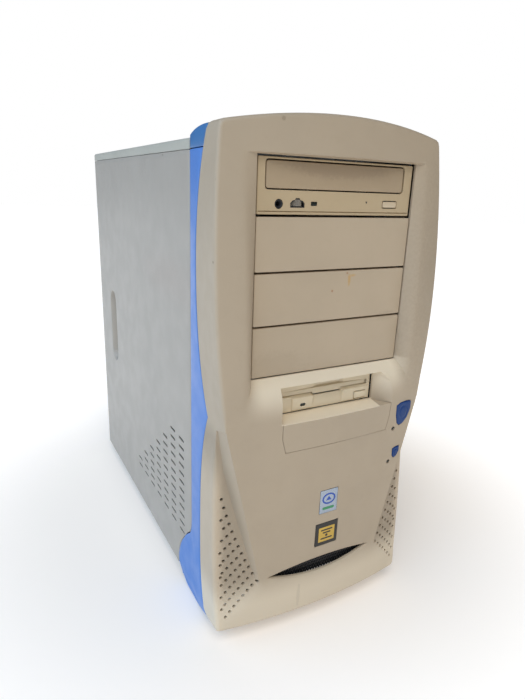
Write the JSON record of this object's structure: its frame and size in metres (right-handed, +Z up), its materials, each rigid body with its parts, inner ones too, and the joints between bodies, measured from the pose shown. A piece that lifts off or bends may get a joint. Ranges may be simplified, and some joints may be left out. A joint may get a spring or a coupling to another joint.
{
  "type": "desktop computer tower",
  "caption": "Mid-size desktop computer tower with arched beige front, blue trim, disc drive, floppy drive, blank bay covers and vented steel panels.",
  "frame": {"origin": "on the floor, centred under the bounding box of the tower", "axes": "+Z up along the tower height, +X to the right seen from the front, +Y from the front to the rear"},
  "size_m": [0.2172, 0.4338, 0.454],
  "materials": {
    "beige_plastic": "fine grained moulded plastic, slightly yellowed",
    "drive_plastic": "moulded plastic, more yellowed than the front",
    "blue_plastic": "satin moulded plastic",
    "painted_steel": "light grey powder coat",
    "zinc_steel": "zinc plated sheet",
    "black_plastic": "black moulded plastic",
    "circuit_board": "solder mask over glass laminate",
    "aluminium": "extruded and cast aluminium",
    "lens": "dark tinted light guide",
    "badge": "printed foil",
    "red_plastic": "red slider",
    "wire_bundle": "sleeved wires"
  },
  "bodies": {
    "root": {"front_bezel": "beige_plastic", "bay_cover_1": "beige_plastic", "bay_cover_2": "beige_plastic", "bay_cover_3": "beige_plastic", "floppy_bay_blank": "beige_plastic", "optical_faceplate": "drive_plastic", "floppy_faceplate": "drive_plastic", "trim_left": "blue_plastic", "trim_right": "blue_plastic", "top_trim": "blue_plastic", "top_cover": "painted_steel", "chassis_base": "zinc_steel", "drive_cage_large": "zinc_steel", "drive_cage_small": "zinc_steel", "chassis_front": "zinc_steel", "rear_panel": "zinc_steel", "motherboard_tray": "zinc_steel", "psu_base": "zinc_steel", "psu_cover": "zinc_steel", "psu_rear": "zinc_steel", "slot_cover_4": "zinc_steel", "slot_cover_5": "zinc_steel", "optical_drive_body": "zinc_steel", "floppy_drive_body": "zinc_steel", "io_shield": "zinc_steel", "switch_bracket": "black_plastic", "intake_mesh": "black_plastic", "rear_foot_left": "black_plastic", "rear_foot_right": "black_plastic", "headphone_jack": "black_plastic", "psu_inlet": "black_plastic", "cpu_fan_frame": "black_plastic", "motherboard": "circuit_board", "memory_module": "circuit_board", "graphics_card": "circuit_board", "sound_card": "circuit_board", "hard_drive": "aluminium", "cpu_heatsink": "aluminium", "power_led": "lens", "drive_led": "lens", "case_badge": "badge", "processor_badge": "badge", "power_harness": "wire_bundle"},
    "side_panel_left": {"side_panel_left": "painted_steel"},
    "side_panel_right": {"side_panel_right": "painted_steel"},
    "thumbscrew_left_1": {"thumbscrew_left_1": "zinc_steel"},
    "thumbscrew_left_2": {"thumbscrew_left_2": "zinc_steel"},
    "thumbscrew_right_1": {"thumbscrew_right_1": "zinc_steel"},
    "thumbscrew_right_2": {"thumbscrew_right_2": "zinc_steel"},
    "power_button": {"power_button": "blue_plastic"},
    "reset_button": {"reset_button": "blue_plastic"},
    "optical_tray": {"optical_tray": "drive_plastic"},
    "optical_eject_button": {"optical_eject_button": "drive_plastic"},
    "optical_volume_wheel": {"optical_volume_wheel": "drive_plastic"},
    "floppy_door": {"floppy_door": "black_plastic"},
    "floppy_eject_button": {"floppy_eject_button": "drive_plastic"},
    "cpu_fan": {"cpu_fan": "black_plastic"},
    "psu_fan": {"psu_fan": "black_plastic"},
    "psu_rocker_switch": {"psu_rocker_switch": "black_plastic"},
    "psu_voltage_selector": {"psu_voltage_selector": "red_plastic"}
  },
  "joints": [
    {"name": "side_panel_left_slide", "type": "slide", "parent": "root", "child": "side_panel_left", "axis": [0, 1, 0], "range_m": [0, 0.025]},
    {"name": "side_panel_right_slide", "type": "slide", "parent": "root", "child": "side_panel_right", "axis": [0, 1, 0], "range_m": [0, 0.025]},
    {"name": "thumbscrew_left_1_turn", "type": "hinge", "parent": "side_panel_left", "child": "thumbscrew_left_1", "pos_m": [-0.091, 0.2107, 0.06], "axis": [0, 1, 0], "continuous": true},
    {"name": "thumbscrew_left_2_turn", "type": "hinge", "parent": "side_panel_left", "child": "thumbscrew_left_2", "pos_m": [-0.091, 0.2107, 0.39], "axis": [0, 1, 0], "continuous": true},
    {"name": "thumbscrew_right_1_turn", "type": "hinge", "parent": "side_panel_right", "child": "thumbscrew_right_1", "pos_m": [0.091, 0.2107, 0.06], "axis": [0, 1, 0], "continuous": true},
    {"name": "thumbscrew_right_2_turn", "type": "hinge", "parent": "side_panel_right", "child": "thumbscrew_right_2", "pos_m": [0.091, 0.2107, 0.39], "axis": [0, 1, 0], "continuous": true},
    {"name": "power_button_press", "type": "slide", "parent": "root", "child": "power_button", "axis": [0, 1, 0], "range_m": [0, 0.0025], "stiffness_N_per_m": 600, "springref_m": -0.0008},
    {"name": "reset_button_press", "type": "slide", "parent": "root", "child": "reset_button", "axis": [0, 1, 0], "range_m": [0, 0.002], "stiffness_N_per_m": 600, "springref_m": -0.0008},
    {"name": "optical_tray_slide", "type": "slide", "parent": "root", "child": "optical_tray", "axis": [0, -1, 0], "range_m": [0, 0.13]},
    {"name": "optical_eject_press", "type": "slide", "parent": "root", "child": "optical_eject_button", "axis": [0, 1, 0], "range_m": [0, 0.001], "stiffness_N_per_m": 600, "springref_m": -0.0008},
    {"name": "optical_volume_turn", "type": "hinge", "parent": "root", "child": "optical_volume_wheel", "pos_m": [-0.0385, -0.1956, 0.3903], "axis": [0, 0, 1], "range_deg": [-150, 150]},
    {"name": "floppy_door_swing", "type": "hinge", "parent": "root", "child": "floppy_door", "pos_m": [0, -0.198, 0.2366], "axis": [1, 0, 0], "range_deg": [0, 70], "stiffness_Nm_per_rad": 0.002, "springref_deg": -17.19},
    {"name": "floppy_eject_press", "type": "slide", "parent": "root", "child": "floppy_eject_button", "axis": [0, 1, 0], "range_m": [0, 0.002], "stiffness_N_per_m": 600, "springref_m": -0.0008},
    {"name": "cpu_fan_spin", "type": "hinge", "parent": "root", "child": "cpu_fan", "pos_m": [0.047, 0.135, 0.255], "axis": [1, 0, 0], "continuous": true},
    {"name": "psu_fan_spin", "type": "hinge", "parent": "root", "child": "psu_fan", "pos_m": [0.03, 0.194, 0.3817], "axis": [0, 1, 0], "continuous": true},
    {"name": "psu_rocker_flip", "type": "hinge", "parent": "root", "child": "psu_rocker_switch", "pos_m": [-0.05, 0.203, 0.392], "axis": [1, 0, 0], "range_deg": [0, 16]},
    {"name": "psu_voltage_slide", "type": "slide", "parent": "root", "child": "psu_voltage_selector", "axis": [1, 0, 0], "range_m": [0, 0.0055]}
  ]
}
